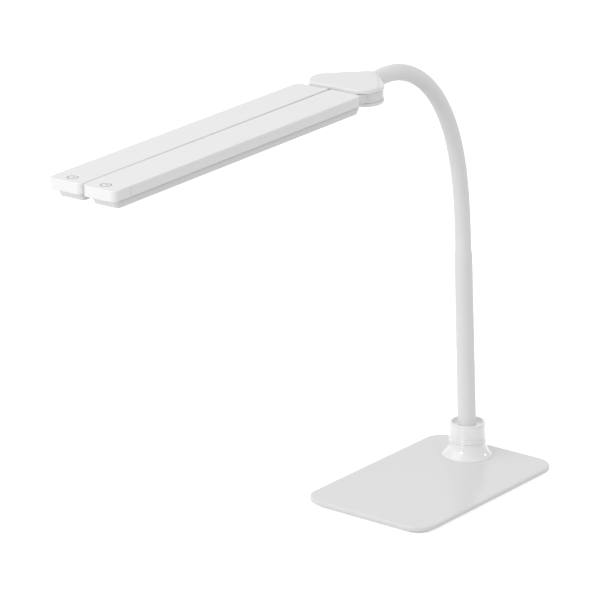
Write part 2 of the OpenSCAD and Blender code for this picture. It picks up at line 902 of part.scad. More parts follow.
module yoke_cap() {
    color("white")
        at_head()
            difference() {
                yoke_plan(cap_corners, cap_z, cap_rise);
                at_pivots()
                    disc(pin_r, cap_z - join, cap_z + pin_in_cap);
                at_yoke_screws()
                    disc(yoke_screw_r, cap_z - join, cap_rise - blind_roof);
            }
}

module yoke_screws() {
    color("silver")
        at_head()
            at_yoke_screws() {
                disc(yoke_screw_r, yoke_sink - yoke_depth, cap_rise - blind_roof - tip_gap);
                disc(yoke_screw_head_r, yoke_sink - yoke_depth, yoke_head_z);
            }
}

module pivot_pins() {
    color("silver")
        at_head()
            at_pivots()
                disc(pin_r, yoke_sink - yoke_depth, cap_z + pin_in_cap);
}

module friction_washers() {
    color("gray")
        at_head()
            at_pivots()
                difference() {
                    disc(friction_r, slot_z, slot_z + friction_t);
                    disc(pin_r + loose_fit, slot_z - join, slot_z + join);
                }
}

// ---- Light bars, each drawn as the right-hand one and mirrored for the left ----

// side is 1 for the right-hand bar and -1 for the left-hand bar
module at_bar(side) {
    at_head()
        if (side > 0)
            children();
        else
            mirror([1, 0, 0])
                children();
}

// Plan of the upper shell, stood in by inset, over the whole length of the bar
module shell_plan(inset, z0, z1) {
    front = tip_r - inset;
    rear = rear_r - inset;
    x0 = bar_x0 + inset;
    x1 = bar_x1 - inset;
    y0 = tip_y + inset;
    y1 = rear_y - inset;
    translate([0, 0, z0])
        linear_extrude(z1 - z0)
            rounded_outline([[x0 + front, y0 + front, front], [x1 - front, y0 + front, front],
                             [x1 - rear, y1 - rear, rear],
                             [x0 + inner_rear_r, y1 - inner_rear_r, inner_rear_r]]);
}

module shell() {
    difference() {
        shell_plan(0, flange_z, 0);
        shell_plan(shell_wall, flange_z - join, -shell_wall);
    }
}

// The two bar screws, one near the end cap and one near the knuckle
module at_bar_screws() {
    for (y = bar_screw_y)
        translate([bar_mid, y, 0])
            children();
}

module bar_cover(side) {
    color("white")
        at_bar(side)
            difference() {
                union() {
                    intersection() {
                        shell();
                        block(bar_x0 - join, bar_x1 + join, seam_y, 0, flange_z - join, join);
                    }
                    at_bar_screws()
                        disc(bar_screw_head_r + bar_boss_wall, flange_z + flange_t, -shell_wall + eps);
                }
                tongue(loose_fit);
                at_bar_screws()
                    disc(bar_screw_r, flange_z, bar_screw_top);
            }
}

module end_cap(side) {
    color("white")
        at_bar(side)
            difference() {
                union() {
                    intersection() {
                        shell();
                        block(bar_x0 - join, bar_x1 + join, tip_y - join, seam_y, flange_z - join, join);
                    }
                    for (x = [-1, 1])
                        translate([bar_mid + x * (touch_board_w / 2 - post_in), touch_y, 0])
                            disc(post_r, -shell_wall - touch_pad_l, -shell_wall + eps);
                }
                touch_mark_shape();
            }
}

// Tongue from the light frame to its knuckle, grown by gap all round
module tongue(gap) {
    x0 = pivot_x - tongue_w / 2 - gap;
    x1 = pivot_x + tongue_w / 2 + gap;
    block(x0, x1, tongue_front - gap, -pin_r - join, knuckle_bottom - gap, knuckle_top + gap);
}

// Space beyond a slanted end of the light frame, where way is 1 at its rear and -1 at its front
module beyond_end(y, slant, way) {
    drop = bar_h - shell_h;
    translate([bar_x0, y, flange_z])
        rotate([0, 90, 0])
            linear_extrude(bar_w)
                polygon([[0, 0], [2 * drop, -2 * way * slant], [2 * drop, way * far], [0, way * far]]);
}

module light_frame(side) {
    color("gainsboro")
        at_bar(side)
            difference() {
                union() {
                    difference() {
                        union() {
                            shell_plan(shell_wall + flange_fit, flange_z, flange_z + flange_t);
                            rounded_box(frame_x0, frame_x1, frame_tip, 0, frame_r, -bar_h, flange_z);
                        }
                        beyond_end(-frame_rear, frame_slant, 1);
                        beyond_end(frame_tip, front_slant, -1);
                        diffuser_plate(0, -bar_h - join);
                        block(pocket_x0 + ledge_w, pocket_x1 - ledge_w, window_front, window_rear,
                              -bar_h, flange_z + flange_t + eps);
                        block(pocket_x0, pocket_x1, window_front - ledge_w, window_rear + ledge_w,
                              board_z, flange_z + flange_t + eps);
                    }
                    tongue(0);
                    translate([pivot_x, 0, 0])
                        disc(knuckle_r, knuckle_bottom, knuckle_top);
                }
                translate([pivot_x, 0, 0])
                    disc(pin_r + pin_fit, knuckle_bottom - join, knuckle_top + join);
                at_bar_screws() {
                    disc(bar_screw_r + screw_fit, -bar_h, 0);
                    disc(bar_screw_head_r + screw_fit, -bar_h, ledge_z + bar_screw_head_h);
                }
            }
}

// Plate with the plan of the diffuser's pocket, stood in by inset, up to the ledge
module diffuser_plate(inset, z0) {
    rounded_box(pocket_x0 + inset, pocket_x1 - inset, frame_tip + front_slant + frame_wall + inset,
                frame_bottom_y - frame_wall - inset, frame_r - frame_wall, z0, ledge_z);
}

module diffuser(side) {
    color("ghostwhite")
        at_bar(side)
            diffuser_plate(diffuser_fit, -bar_h);
}

module led_board(side) {
    color("white")
        at_bar(side)
            block(pocket_x0 + board_fit, pocket_x1 - board_fit, window_front - ledge_w + board_fit,
                  window_rear + ledge_w - board_fit, board_z, board_z + led_board_t);
}

module leds(side) {
    first = window_front + led_margin;
    step = (window_rear - window_front - 2 * led_margin - led_l) / (led_count - 1);
    color("khaki")
        at_bar(side)
            for (y = [for (i = [0 : led_count - 1]) first + i * step])
                block(bar_mid - led_w / 2, bar_mid + led_w / 2, y, y + led_l, board_z - led_h, board_z);
}

module touch_board(side) {
    color("darkgreen")
        at_bar(side)
            block(bar_mid - touch_board_w / 2, bar_mid + touch_board_w / 2,
                  touch_y - touch_board_l / 2, touch_y + touch_board_l / 2,
                  touch_board_z, touch_board_z + touch_board_t);
}

module touch_pad(side) {
    color("dimgray")
        at_bar(side)
            translate([bar_mid, touch_y, 0])
                disc(touch_pad_r, -shell_wall - touch_pad_l, -shell_wall);
}

// Ring, open arc and short stroke of the touch mark
module touch_mark_shape() {
    inner_r = mark_r * 0.55;
    translate([bar_mid, touch_y, -mark_t])
        linear_extrude(mark_t + eps) {
            difference() {
                circle(r = mark_r);
                circle(r = mark_r - mark_line);
            }
            difference() {
                circle(r = inner_r);
                circle(r = inner_r - mark_line);
                translate([-inner_r / 2, inner_r / 3])
                    square([inner_r, inner_r]);
            }
            translate([-mark_line / 2, inner_r / 4])
                square([mark_line, inner_r]);
        }
}

module touch_mark(side) {
    color("gray")
        at_bar(side)
            intersection() {
                touch_mark_shape();
                block(bar_x0, bar_x1, tip_y, seam_y, -shell_wall, 0);
            }
}

module bar_screws(side) {
    color("silver")
        at_bar(side)
            at_bar_screws() {
                disc(bar_screw_head_r, ledge_z, ledge_z + bar_screw_head_h);
                disc(bar_screw_r, ledge_z, bar_screw_top - tip_gap);
            }
}

base_pad();
base_tray();
ballast_plate();
base_cover();
base_screws();
power_inlet();
inlet_board();
collar_skirt();
collar_cup();
neck_stud();
stud_nut();
stud_washer();
lower_tube();
tube_ferrule();
neck_sleeve(0);  // neck_sleeve_0
neck_core(1);  // neck_core_1
neck_sleeve(1);  // neck_sleeve_1
neck_core(2);  // neck_core_2
neck_sleeve(2);  // neck_sleeve_2
neck_core(3);  // neck_core_3
neck_sleeve(3);  // neck_sleeve_3
neck_core(4);  // neck_core_4
neck_sleeve(4);  // neck_sleeve_4
neck_core(5);  // neck_core_5
neck_sleeve(5);  // neck_sleeve_5
neck_core(6);  // neck_core_6
neck_sleeve(6);  // neck_sleeve_6
neck_core(7);  // neck_core_7
neck_sleeve(7);  // neck_sleeve_7
neck_end_fitting();
neck_sleeve(8);  // neck_sleeve_8
yoke_body();
yoke_cap();
yoke_screws();
pivot_pins();
friction_washers();
bar_cover(1);  // right_bar_cover
end_cap(1);  // right_end_cap
light_frame(1);  // right_light_frame
diffuser(1);  // right_diffuser
led_board(1);  // right_led_board
leds(1);  // right_leds
touch_board(1);  // right_touch_board
touch_pad(1);  // right_touch_pad
touch_mark(1);  // right_touch_mark
bar_screws(1);  // right_bar_screws
bar_cover(-1);  // left_bar_cover
end_cap(-1);  // left_end_cap
light_frame(-1);  // left_light_frame
diffuser(-1);  // left_diffuser
led_board(-1);  // left_led_board
leds(-1);  // left_leds
touch_board(-1);  // left_touch_board
touch_pad(-1);  // left_touch_pad
touch_mark(-1);  // left_touch_mark
bar_screws(-1);  // left_bar_screws
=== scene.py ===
import json
import math

import bmesh
import bpy
from mathutils import Matrix, Vector

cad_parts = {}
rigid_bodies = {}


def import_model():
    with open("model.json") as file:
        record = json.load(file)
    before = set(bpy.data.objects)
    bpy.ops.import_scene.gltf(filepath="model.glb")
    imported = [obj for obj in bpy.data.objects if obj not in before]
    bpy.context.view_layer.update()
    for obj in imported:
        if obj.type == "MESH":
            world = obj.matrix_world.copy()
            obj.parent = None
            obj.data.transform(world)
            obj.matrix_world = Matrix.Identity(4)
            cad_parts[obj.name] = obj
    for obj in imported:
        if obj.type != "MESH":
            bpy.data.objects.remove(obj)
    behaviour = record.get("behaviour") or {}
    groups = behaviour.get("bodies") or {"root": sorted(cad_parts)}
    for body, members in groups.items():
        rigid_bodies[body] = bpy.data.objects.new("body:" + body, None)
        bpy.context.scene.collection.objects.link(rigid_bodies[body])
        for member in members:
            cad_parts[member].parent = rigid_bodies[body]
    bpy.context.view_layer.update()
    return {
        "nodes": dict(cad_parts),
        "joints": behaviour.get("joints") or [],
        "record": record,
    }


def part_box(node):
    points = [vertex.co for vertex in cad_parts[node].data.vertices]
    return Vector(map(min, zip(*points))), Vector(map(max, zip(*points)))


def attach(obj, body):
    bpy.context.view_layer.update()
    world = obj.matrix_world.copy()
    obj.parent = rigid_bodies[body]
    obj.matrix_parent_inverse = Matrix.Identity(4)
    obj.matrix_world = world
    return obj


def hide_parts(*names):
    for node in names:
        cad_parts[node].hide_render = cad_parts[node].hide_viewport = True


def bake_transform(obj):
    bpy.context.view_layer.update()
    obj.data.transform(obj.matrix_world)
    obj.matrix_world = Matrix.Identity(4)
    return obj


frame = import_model()
JOINTS = {joint["name"]: joint for joint in frame["joints"]}

MM = 0.001
SCALE = Matrix.Scale(MM, 4)
ARC_STEPS = 8
LATHE_STEPS = 96
LEAST_R = 0.15  # radius that a box's corner keeps however far its plan is inset
FLAT_IN = 0.6  # from a round edge to the ring that keeps a flat face's shading flat
SHARP = math.radians(32)


# ---- Camera ----

CAMERA_AT = Vector((1.57392635, -2.21402539, 1.06265034))
CAMERA_AZIMUTH = math.radians(37.725)
CAMERA_ELEVATION = math.radians(18.305)
SENSOR_MM = 36
FOCAL_PIXELS = 3500
IMAGE_PIXELS = 598
CLIP_END = 50


def linked(name, data):
    """A new object in the scene for some data."""
    thing = bpy.data.objects.new(name, data)
    bpy.context.scene.collection.objects.link(thing)
    return thing


def aim(thing, way):
    """Turns a camera or a lamp to look along way."""
    thing.rotation_mode = "QUATERNION"
    thing.rotation_quaternion = way.to_track_quat("-Z", "Y")


def make_camera():
    camera = bpy.data.cameras.new("camera")
    camera.sensor_width = SENSOR_MM
    camera.lens = SENSOR_MM * FOCAL_PIXELS / IMAGE_PIXELS
    camera.clip_end = CLIP_END
    holder = linked("camera", camera)
    back = Vector((
        math.sin(CAMERA_AZIMUTH) * math.cos(CAMERA_ELEVATION),
        -math.cos(CAMERA_AZIMUTH) * math.cos(CAMERA_ELEVATION),
        math.sin(CAMERA_ELEVATION),
    ))
    holder.location = CAMERA_AT
    aim(holder, -back)
    bpy.context.scene.camera = holder


# ---- Materials ----

NOISE_MIDDLE = (0.3, 0.7)
RAMP_ENDS = (0.2, 0.8)
PLASTIC_IOR = 1.5
ACRYLIC_IOR = 1.49
COAT_ROUGHNESS = 0.06
GLOSS_CHANGE = 0.12


def node_material(name):
    """A new material, its node tree and its shader."""
    material = bpy.data.materials.new(name)
    material.use_nodes = True
    tree = material.node_tree
    return material, tree, tree.nodes["Principled BSDF"]


def noise_node(tree, scale, detail=3, stretch=(1, 1, 1)):
    """Noise in the part's own metres, stretched by a factor along each axis."""
    place = tree.nodes.new("ShaderNodeTexCoord")
    mapping = tree.nodes.new("ShaderNodeMapping")
    texture = tree.nodes.new("ShaderNodeTexNoise")
    mapping.inputs["Scale"].default_value = stretch
    texture.inputs["Scale"].default_value = scale
    texture.inputs["Detail"].default_value = detail
    tree.links.new(place.outputs["Object"], mapping.inputs["Vector"])
    tree.links.new(mapping.outputs["Vector"], texture.inputs["Vector"])
    return texture


def spread(tree, texture, low, high):
    """The texture's value, taken from its middle range to low and high."""
    node = tree.nodes.new("ShaderNodeMapRange")
    node.inputs["From Min"].default_value, node.inputs["From Max"].default_value = NOISE_MIDDLE
    node.inputs["To Min"].default_value = low
    node.inputs["To Max"].default_value = high
    tree.links.new(texture.outputs["Fac"], node.inputs["Value"])
    return node.outputs["Result"]


def tint(tree, shader, texture, colour, change):
    """Base colour that varies a little around colour with the texture."""
    ramp = tree.nodes.new("ShaderNodeValToRGB")
    for element, position, way in zip(ramp.color_ramp.elements, RAMP_ENDS, (-1, 1)):
        element.position = position
        element.color = [max(0, c * (1 + way * change)) for c in colour] + [1]
    tree.links.new(texture.outputs["Fac"], ramp.inputs["Fac"])
    tree.links.new(ramp.outputs["Color"], shader.inputs["Base Color"])


def roughen(tree, shader, texture, low, high):
    tree.links.new(spread(tree, texture, low, high), shader.inputs["Roughness"])


def bump(tree, shader, texture, depth, strength):
    """Bump of a real depth in metres."""
    node = tree.nodes.new("ShaderNodeBump")
    node.inputs["Strength"].default_value = strength
    node.inputs["Distance"].default_value = depth
    tree.links.new(texture.outputs["Fac"], node.inputs["Height"])
    tree.links.new(node.outputs["Normal"], shader.inputs["Normal"])


def moulded(name, colour, rough, grain=0.0, gloss=0.0, sheen=0.0):
    """Moulded or painted plastic: faint clouding, uneven gloss and a fine grain of real depth."""
    material, tree, shader = node_material(name)
    tint(tree, shader, noise_node(tree, scale=18, detail=4), colour, change=0.008)
    uneven = noise_node(tree, scale=60, detail=5)
    roughen(tree, shader, uneven, rough * (1 - GLOSS_CHANGE), rough * (1 + GLOSS_CHANGE))
    if grain:
        bump(tree, shader, noise_node(tree, scale=2600, detail=2), depth=grain, strength=0.5)
    shader.inputs["Coat Weight"].default_value = gloss
    shader.inputs["Coat Roughness"].default_value = COAT_ROUGHNESS
    shader.inputs["Sheen Weight"].default_value = sheen
    shader.inputs["IOR"].default_value = PLASTIC_IOR
    return material


def metal(name, colour, rough, stretch=(1, 1, 1)):
    """Bare metal with brushed or plated streaks."""
    material, tree, shader = node_material(name)
    streaks = noise_node(tree, scale=900, stretch=stretch)
    tint(tree, shader, streaks, colour, change=0.06)
    roughen(tree, shader, streaks, rough * 0.75, rough * 1.3)
    bump(tree, shader, streaks, depth=4e-6, strength=0.4)
    shader.inputs["Metallic"].default_value = 1
    return material


def rubber(name, colour):
    material, tree, shader = node_material(name)
    tint(tree, shader, noise_node(tree, scale=40, detail=4), colour, change=0.12)
    roughen(tree, shader, noise_node(tree, scale=300, detail=4), 0.7, 0.9)
    bump(tree, shader, noise_node(tree, scale=1500), depth=4e-5, strength=0.7)
    return material


def board(name, colour):
    """Circuit board: solder mask over a faint pattern of tracks."""
    material, tree, shader = node_material(name)
    place = tree.nodes.new("ShaderNodeTexCoord")
    tracks = tree.nodes.new("ShaderNodeTexBrick")
    tracks.inputs["Scale"].default_value = 320
    tracks.inputs["Mortar Size"].default_value = 0.03
    tracks.inputs["Color1"].default_value = [*colour, 1]
    tracks.inputs["Color2"].default_value = [*(c * 0.93 for c in colour), 1]
    tracks.inputs["Mortar"].default_value = [*(min(1, c * 1.15 + 0.01) for c in colour), 1]
    tree.links.new(place.outputs["Object"], tracks.inputs["Vector"])
    tree.links.new(tracks.outputs["Color"], shader.inputs["Base Color"])
    roughen(tree, shader, noise_node(tree, scale=400), 0.28, 0.4)
    return material


def frosted(name, colour):
    """Frosted diffuser that lets a little of what lies under it through."""
    material, tree, shader = node_material(name)
    tint(tree, shader, noise_node(tree, scale=30), colour, change=0.01)
    roughen(tree, shader, noise_node(tree, scale=500, detail=4), 0.5, 0.62)
    bump(tree, shader, noise_node(tree, scale=1800, detail=2), depth=1.5e-5, strength=0.6)
    shader.inputs["Transmission Weight"].default_value = 0.3
    shader.inputs["IOR"].default_value = ACRYLIC_IOR
    return material


def phosphor(name, colour):
    """LED phosphor under clear resin."""
    material, tree, shader = node_material(name)
    tint(tree, shader, noise_node(tree, scale=1200), colour, change=0.12)
    roughen(tree, shader, noise_node(tree, scale=700, detail=2), 0.15, 0.3)
    shader.inputs["Coat Weight"].default_value = 0.6
    return material


def grey(value):
    return (value, value, value)


MATERIALS = {
    "pad_rubber": rubber("pad_rubber", (0.035, 0.035, 0.036)),
    "gloss_white": moulded("gloss_white", grey(0.75), rough=0.16, gloss=0.05),
    # Painted light: the foot tray is a lighter white than the cover, to lift it out of the shade of
    # its recess under the cover.
    "tray_white": moulded("tray_white", grey(0.86), rough=0.45, grain=2e-5),
    "ballast_steel": metal("ballast_steel", (0.42, 0.43, 0.44), 0.4, stretch=(1, 6, 1)),
    "collar_white": moulded("collar_white", grey(0.825), rough=0.2, gloss=1.0),
    "tube_white": moulded("tube_white", grey(0.78), rough=0.42, grain=6e-6),
    "sleeve_white": moulded("sleeve_white", grey(0.79), rough=0.5, grain=8e-6, sheen=0.1),
    "neck_steel": metal("neck_steel", (0.55, 0.55, 0.56), 0.3, stretch=(1, 1, 8)),
    "hardware_steel": metal("hardware_steel", (0.62, 0.62, 0.63), 0.28, stretch=(1, 1, 5)),
    "washer_nylon": moulded("washer_nylon", (0.76, 0.76, 0.75), rough=0.4, grain=1e-5),
    "inlet_metal": metal("inlet_metal", (0.7, 0.7, 0.69), 0.22, stretch=(4, 1, 1)),
    "led_board_white": board("led_board_white", (0.78, 0.78, 0.76)),
    "circuit_board": board("circuit_board", (0.02, 0.13, 0.06)),
    "led_phosphor": phosphor("led_phosphor", (0.82, 0.62, 0.14)),
    "diffuser_frost": frosted("diffuser_frost", (0.86, 0.86, 0.85)),
    "mark_grey": moulded("mark_grey", (0.20, 0.20, 0.21), rough=0.5),
    # Painted shade: the lamp frame is a darker white than the bar shell, so the lower tier of each
    # bar reads as shaded.
    "frame_white": moulded("frame_white", grey(0.76), rough=0.4, grain=1e-5),
    "yoke_white": moulded("yoke_white", grey(0.8), rough=0.34, grain=5e-6, gloss=0.15),
    "bar_white": moulded("bar_white", grey(0.82), rough=0.33, grain=5e-6, gloss=0.1),
}


# ---- Mesh helpers, in millimetres, with a place matrix that ends in SCALE ----

def mesh_data(name, mesh, place):
    """Mesh data of a bmesh at its place, with its faces turned outwards. The bmesh is freed."""
    bmesh.ops.transform(mesh, matrix=place, verts=mesh.verts)
    bmesh.ops.recalc_face_normals(mesh, faces=mesh.faces)
    data = bpy.data.meshes.new(name)
    mesh.to_mesh(data)
    mesh.free()
    return data


def finish_piece(name, mesh, slot, body, nodes=(), place=SCALE, blend=None):
    """Makes a bmesh a piece with its finish, attached to its body, or left in world space when
    blend is given, instead of the CAD nodes listed.
    """
    data = mesh_data(name, mesh, place)
    for face in data.polygons:
        face.use_smooth = True
    data.set_sharp_from_angle(angle=SHARP)
    data.materials.append(MATERIALS[slot])
    piece = linked(name, data)
    weights = piece.modifiers.new("weights", "WEIGHTED_NORMAL")
    weights.keep_sharp = True
    if blend:
        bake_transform(piece)
    else:
        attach(piece, body)
    if nodes:
        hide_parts(*nodes)


def finish_blank(name, blank, slot, body, nodes):
    """Makes a cut blank, already in metres, a piece."""
    mesh = bmesh.new()
    mesh.from_mesh(blank.data)
    bpy.data.objects.remove(blank)
    finish_piece(name, mesh, slot, body, nodes, Matrix.Identity(4))


def plain_object(name, mesh, place=SCALE):
    """A mesh object with no finish, for cutting and remeshing."""
    return linked(name, mesh_data(name, mesh, place))


def bake(piece):
    """Applies the modifiers of a mesh object."""
    bpy.context.view_layer.update()
    seen = piece.evaluated_get(bpy.context.evaluated_depsgraph_get())
    data = bpy.data.meshes.new_from_object(seen)
    piece.modifiers.clear()
    piece.data = data


def combine(piece, other, operation):
    """Exact boolean of a mesh object with another, which is then removed."""
    modifier = piece.modifiers.new("combine", "BOOLEAN")
    modifier.operation = operation
    modifier.solver = "EXACT"
    modifier.object = other
    bake(piece)
    bpy.data.objects.remove(other)


def cut(piece, cutter):
    combine(piece, cutter, "DIFFERENCE")


def bridge(mesh, lower, upper):
    for i in range(len(lower)):
        j = (i + 1) % len(lower)
        mesh.faces.new((lower[i], lower[j], upper[j], upper[i]))


def loft(mesh, rings, closed=False):
    """Skin through rings of [x, y, z] points, with flat ends, or joined end to end."""
    made = [[mesh.verts.new(p) for p in ring] for ring in rings]
    for lower, upper in zip(made, made[1:]):
        bridge(mesh, lower, upper)
    if closed:
        bridge(mesh, made[-1], made[0])
    else:
        mesh.faces.new(made[0][::-1])
        mesh.faces.new(made[-1])


def hull_plan(corners):
    """Plan through round corners (x, y, radius), listed counter-clockwise.
    A plan takes an inset and returns points."""
    turns = []
    for a, b in zip(corners, corners[1:] + corners[:1]):
        away = math.hypot(b[0] - a[0], b[1] - a[1])
        turns.append(math.atan2(b[1] - a[1], b[0] - a[0]) - math.acos((a[2] - b[2]) / away))

    def at(inset):
        points = []
        for k, (x, y, r) in enumerate(corners):
            start, end = turns[k - 1], turns[k]
            while end < start:
                end += 2 * math.pi
            steps = max(4, round((end - start) / (math.pi / 2) * 2 * ARC_STEPS))
            for i in range(steps + 1):
                a = start + (end - start) * i / steps
                out = r - inset
                points.append(Vector((x + out * math.cos(a), y + out * math.sin(a))))
        return points

    return at


def box_plan(x0, x1, y0, y1, radii, hold=None, hold_in=0.0, x0_most=math.inf):
    """Plan of a box with a radius at each corner, from x0, y0 round to x0, y1.
    The side named by hold, y0 or y1, moves in by hold_in at most, and the side at x0 by x0_most."""
    def at(inset):
        side = min(inset, x0_most)
        front = min(inset, hold_in) if hold == "y0" else inset
        rear = min(inset, hold_in) if hold == "y1" else inset
        ends = ((x0 + side, y0 + front), (x1 - inset, y0 + front),
                (x1 - inset, y1 - rear), (x0 + side, y1 - rear))
        ways = ((1, 1), (-1, 1), (-1, -1), (1, -1))
        points = []
        for k, ((x, y), (u, v), r) in enumerate(zip(ends, ways, radii)):
            r = max(r - inset, LEAST_R)
            for i in range(ARC_STEPS + 1):
                a = math.pi + k * math.pi / 2 + math.pi / 2 * i / ARC_STEPS
                points.append(Vector((x + u * r + r * math.cos(a), y + v * r + r * math.sin(a))))
        return points

    return at


def rounded(z0, z1, low_r, high_r, steps=5):
    """Profile of (inset, z) from the bottom face's edge to the top's, with a round at each end."""
    profile = []
    for i in range(steps + 1):
        a = math.pi / 2 * i / steps
        profile.append((low_r * (1 - math.sin(a)), z0 + low_r * (1 - math.cos(a))))
    for i in range(steps + 1):
        a = math.pi / 2 * i / steps
        profile.append((high_r * (1 - math.cos(a)), z1 - high_r * (1 - math.sin(a))))
    return profile


def level(points, z):
    return [(p.x, p.y, z) for p in points]


def stack(plan, profile):
    return [level(plan(inset), z) for inset, z in profile]


def slab(mesh, plan, z0, z1, low_r, high_r):
    """Rounded slab, with a ring just inside each flat face that keeps its shading flat."""
    rings = stack(plan, rounded(z0, z1, low_r, high_r))
    loft(mesh, [level(plan(low_r + FLAT_IN), z0)] + rings + [level(plan(high_r + FLAT_IN), z1)])


def lathe(mesh, profile, closed=False, steps=LATHE_STEPS):
    """Turned shape about z through (radius, z) points."""
    rings = []
    for r, z in profile:
        angles = [2 * math.pi * i / steps for i in range(steps)]
        rings.append([(r * math.cos(a), r * math.sin(a), z) for a in angles])
    loft(mesh, rings, closed)


def fillet(corner, before, after, r, steps=5):
    """Points of a round of about r at a profile's corner, between its neighbours."""
    corner, before, after = Vector(corner), Vector(before), Vector(after)
    a = corner + (before - corner).normalized() * r
    b = corner + (after - corner).normalized() * r
    shares = [i / steps for i in range(steps + 1)]
    return [(a * (1 - t) ** 2 + corner * 2 * t * (1 - t) + b * t ** 2)[:] for t in shares]


# ---- Base ----

def millimetres(node):
    """Lowest and highest corner of a CAD node, in millimetres."""
    low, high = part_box(node)
    return low / MM, high / MM


BASE_R = 18
COVER_EDGES = (0.6, 1.1)
TRAY_EDGES = (0.8, 0.1)
PAD_EDGES = (0.25, 0.1)
INLET_GAP, INLET_ROOM_R, INLET_ROOM_DEPTH = 0.15, 0.5, 8
COVER_LOW, COVER_HIGH = millimetres("base_cover")
TRAY_LOW, TRAY_HIGH = millimetres("base_tray")
PAD_LOW, PAD_HIGH = millimetres("base_pad")
INLET_LOW, INLET_HIGH = millimetres("power_inlet")


def base_slab(low, high, edges):
    """Rounded slab that fills a CAD node's box, with its corners round the cover's centres."""
    r = BASE_R - (low.x - COVER_LOW.x)
    mesh = bmesh.new()
    slab(mesh, box_plan(low.x, high.x, low.y, high.y, (r, r, r, r)), low.z, high.z, *edges)
    return mesh


def make_base():
    cover = plain_object("cover_blank", base_slab(COVER_LOW, COVER_HIGH, COVER_EDGES))
    gap = INLET_GAP
    plan = box_plan(INLET_LOW.x - gap, INLET_HIGH.x + gap, INLET_LOW.z - gap, INLET_HIGH.z + gap,
                    (INLET_ROOM_R,) * 4)
    depths = (COVER_HIGH.y - INLET_ROOM_DEPTH, COVER_HIGH.y + 1)
    opening = bmesh.new()
    loft(opening, [[(p.x, y, p.y) for p in plan(0)] for y in depths])
    cut(cover, plain_object("opening", opening))
    finish_blank("base_cover_shell", cover, "gloss_white", "base", ["base_cover"])
    tray = base_slab(TRAY_LOW, TRAY_HIGH, TRAY_EDGES)
    finish_piece("base_foot_tray", tray, "tray_white", "base", ["base_tray"])
    pad = base_slab(PAD_LOW, PAD_HIGH, PAD_EDGES)
    finish_piece("base_rubber_pad", pad, "pad_rubber", "base", ["base_pad"])


# ---- Collar, lower tube and ferrule ----

SKIRT_LOW, SKIRT_HIGH = millimetres("collar_skirt")
COLLAR = Vector(((SKIRT_LOW.x + SKIRT_HIGH.x) / 2, (SKIRT_LOW.y + SKIRT_HIGH.y) / 2, 0))
SKIRT_R = (SKIRT_HIGH.x - SKIRT_LOW.x) / 2
SKIRT_TOP_R = 16
SKIRT_FLARE = 2.4
SKIRT_STEPS = 28
SKIRT_LIP, SKIRT_BEVEL = 0.5, (0.12, 0.15)
SKIRT_SEAT_EDGE = 0.25
SKIRT_BORE_R, SEAT_BORE_R = 5, 9
CUP_RIM = millimetres("collar_cup")[1].z
CUP_FOOT_R = 15.7
CUP_FOOT_EDGE = 0.3
CUP_RIM_R = 14.9
CUP_RIM_T = 2.1
CUP_RIM_EDGE, CUP_RIM_REACH = 0.9, 1.3
CUP_RECESS = 2.5
CUP_RECESS_EDGE = 1.5
CUP_BORE_R = 7
GROOVE_D = 0.35
GROOVE_W = 0.5
GROOVE_PITCH = 2
TUBE_LEAN = math.radians(3.4)
TUBE_L = 168
TUBE_LIFT = 0.6
TUBE_STEPS = 12
TUBE_FOOT_R = 7.8
TUBE_TOP_R = 7.45
SHOULDER_L, SHOULDER_R = 5, 7.25
SHOULDER_STEPS = 8
FERRULE_H = 4
FERRULE_T = 1.3
FERRULE_FIT, FERRULE_PROUD = 0.05, 0.08
FERRULE_SHANK = 11
FERRULE_STEPS = 24
RING_AT = (7, 8, 22, 23)  # steps of the ferrule's profile that lie in a groove
RING_D = 0.22
SLEEVE_R = 6.7
STEM_WALL = 1.2


def at_collar():
    return Matrix.Translation(COLLAR * MM) @ SCALE


def on_tube():
    """Place of the lower tube's axis, with z from the seat on the skirt."""
    foot = Vector((COLLAR.x, COLLAR.y, SKIRT_HIGH.z)) * MM
    return Matrix.Translation(foot) @ Matrix.Rotation(TUBE_LEAN, 4, "X") @ SCALE


def skirt_profile():
    foot, seat = SKIRT_LOW.z, SKIRT_HIGH.z
    bevel_in, bevel_h = SKIRT_BEVEL
    outside = [(SKIRT_R, foot), (SKIRT_R, foot + SKIRT_LIP - bevel_h),
               (SKIRT_R - bevel_in, foot + SKIRT_LIP)]
    for i in range(2, SKIRT_STEPS + 1):
        h = i / SKIRT_STEPS
        r = SKIRT_TOP_R + (SKIRT_R - SKIRT_TOP_R) * (1 - h) ** SKIRT_FLARE
        outside.append((r, foot + (seat - foot) * h))
    outside[-1:] = fillet(outside[-1], outside[-2], (SKIRT_TOP_R - 2, seat), SKIRT_SEAT_EDGE, 3)
    bore = [(SEAT_BORE_R, seat), (SEAT_BORE_R, seat - 1), (SKIRT_BORE_R, seat - 1)]
    return [(SKIRT_BORE_R, foot)] + outside + bore


